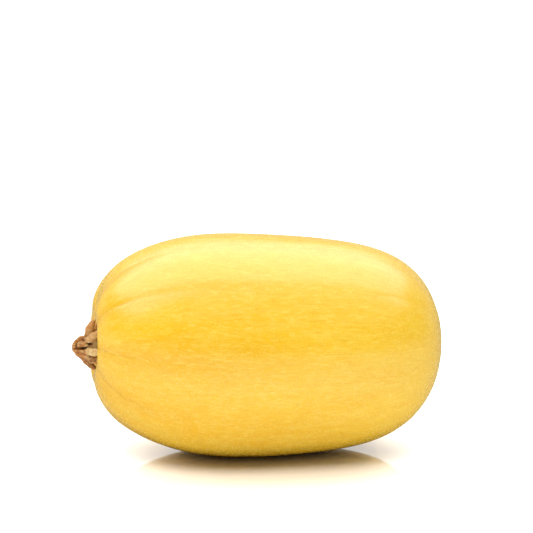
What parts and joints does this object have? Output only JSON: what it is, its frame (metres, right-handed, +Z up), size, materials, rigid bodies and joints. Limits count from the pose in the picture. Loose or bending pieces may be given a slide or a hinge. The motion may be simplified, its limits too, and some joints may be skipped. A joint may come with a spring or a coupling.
{
  "type": "spaghetti squash",
  "caption": "Whole ripe spaghetti squash lying on its side: a plump yellow lobed oblong fruit with a dried, ribbed tan stem stub.",
  "frame": {"origin": "on the resting surface, under the middle of the object's bounding box", "axes": "+X along the fruit towards its blossom end, with the stem at -X; +Z up as it lies on its side; -Y is the side that faces the viewer"},
  "size_m": [0.2262, 0.1368, 0.1365],
  "materials": {
    "rind": "satin",
    "dried_stem": "matte"
  },
  "bodies": {
    "root": {"squash_fruit": "rind", "stem": "dried_stem"}
  },
  "joints": []
}
